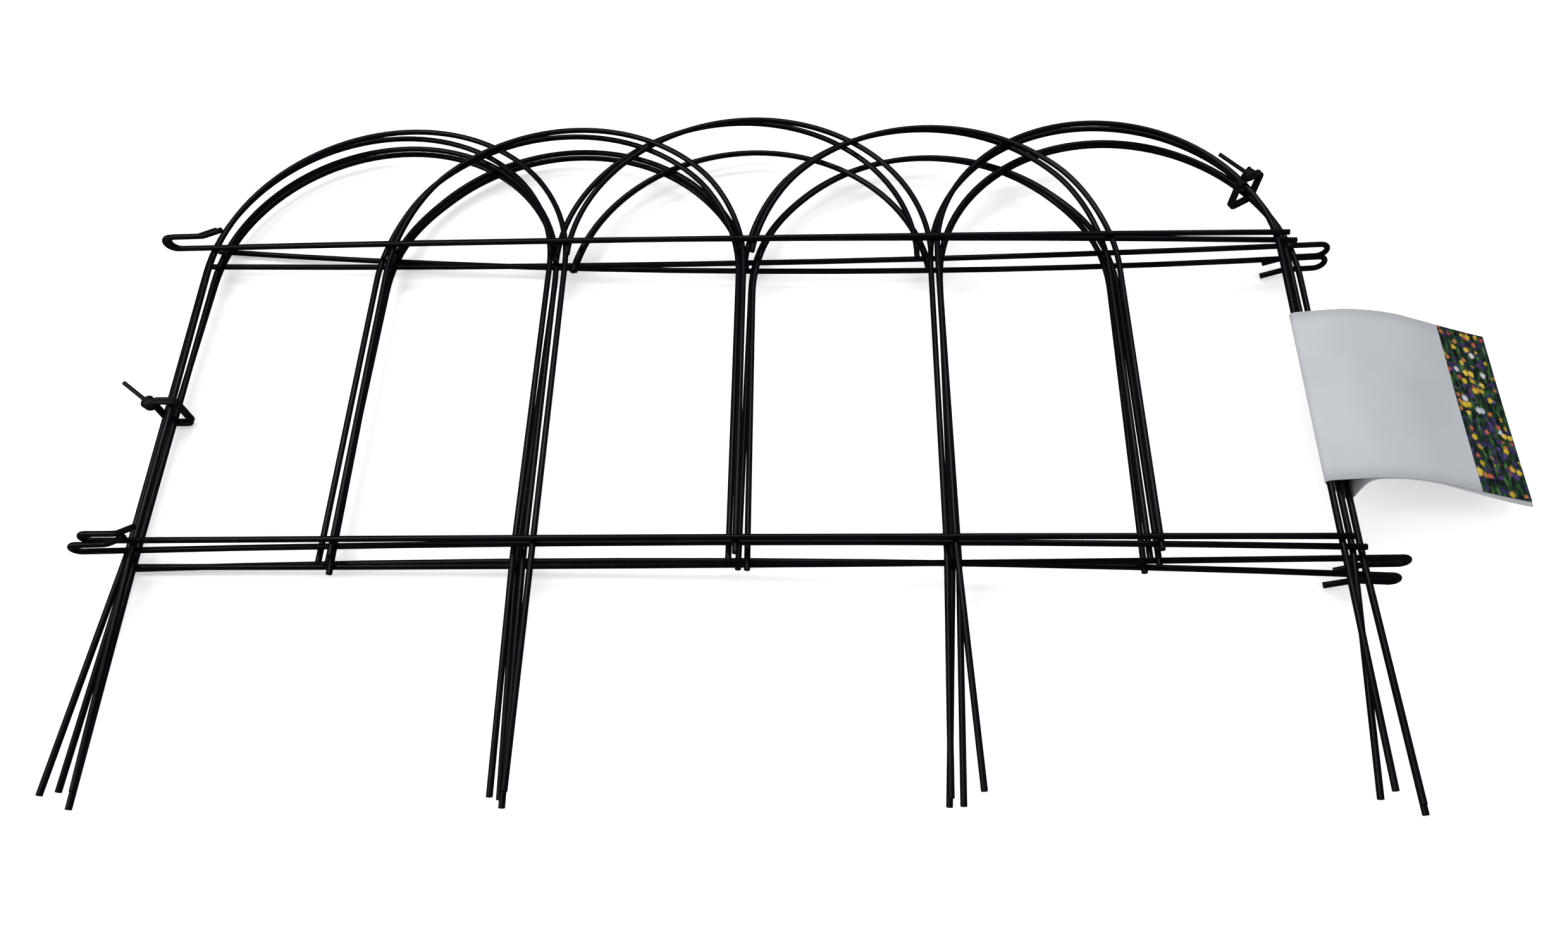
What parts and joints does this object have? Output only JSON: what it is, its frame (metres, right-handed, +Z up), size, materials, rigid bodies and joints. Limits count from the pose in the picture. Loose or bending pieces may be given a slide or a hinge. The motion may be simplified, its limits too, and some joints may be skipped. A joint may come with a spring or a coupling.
{
  "type": "garden edging fence",
  "caption": "Low wire border fence of overlapping round arches on two rails, with ground legs and end hooks, as a tied flat bundle of panels with a paper label.",
  "frame": {"origin": "centre of the footprint, on the surface the bundle lies on", "axes": "+X along the fence towards the label, +Y from the ground legs to the arches, +Z up from the surface"},
  "size_m": [0.4672, 0.2618, 0.0286],
  "materials": {
    "black_wire": "satin",
    "tie_plastic": "satin",
    "label_paper": "satin"
  },
  "bodies": {
    "root": {"arch_tie": "tie_plastic", "label": "label_paper", "leg_tie": "tie_plastic", "panel_a_arch_1": "black_wire", "panel_a_arch_2": "black_wire", "panel_a_arch_3": "black_wire", "panel_a_arch_4": "black_wire", "panel_a_arch_5": "black_wire", "panel_a_bottom_rail": "black_wire", "panel_a_top_rail": "black_wire", "panel_b_arch_1": "black_wire", "panel_b_arch_2": "black_wire", "panel_b_arch_3": "black_wire", "panel_b_arch_4": "black_wire", "panel_b_arch_5": "black_wire", "panel_b_bottom_rail": "black_wire", "panel_b_top_rail": "black_wire", "panel_c_arch_1": "black_wire", "panel_c_arch_2": "black_wire", "panel_c_arch_3": "black_wire", "panel_c_arch_4": "black_wire", "panel_c_arch_5": "black_wire", "panel_c_bottom_rail": "black_wire", "panel_c_top_rail": "black_wire", "panel_d_arch_1": "black_wire", "panel_d_arch_2": "black_wire", "panel_d_arch_3": "black_wire", "panel_d_arch_4": "black_wire", "panel_d_arch_5": "black_wire", "panel_d_bottom_rail": "black_wire", "panel_d_top_rail": "black_wire"}
  },
  "joints": []
}
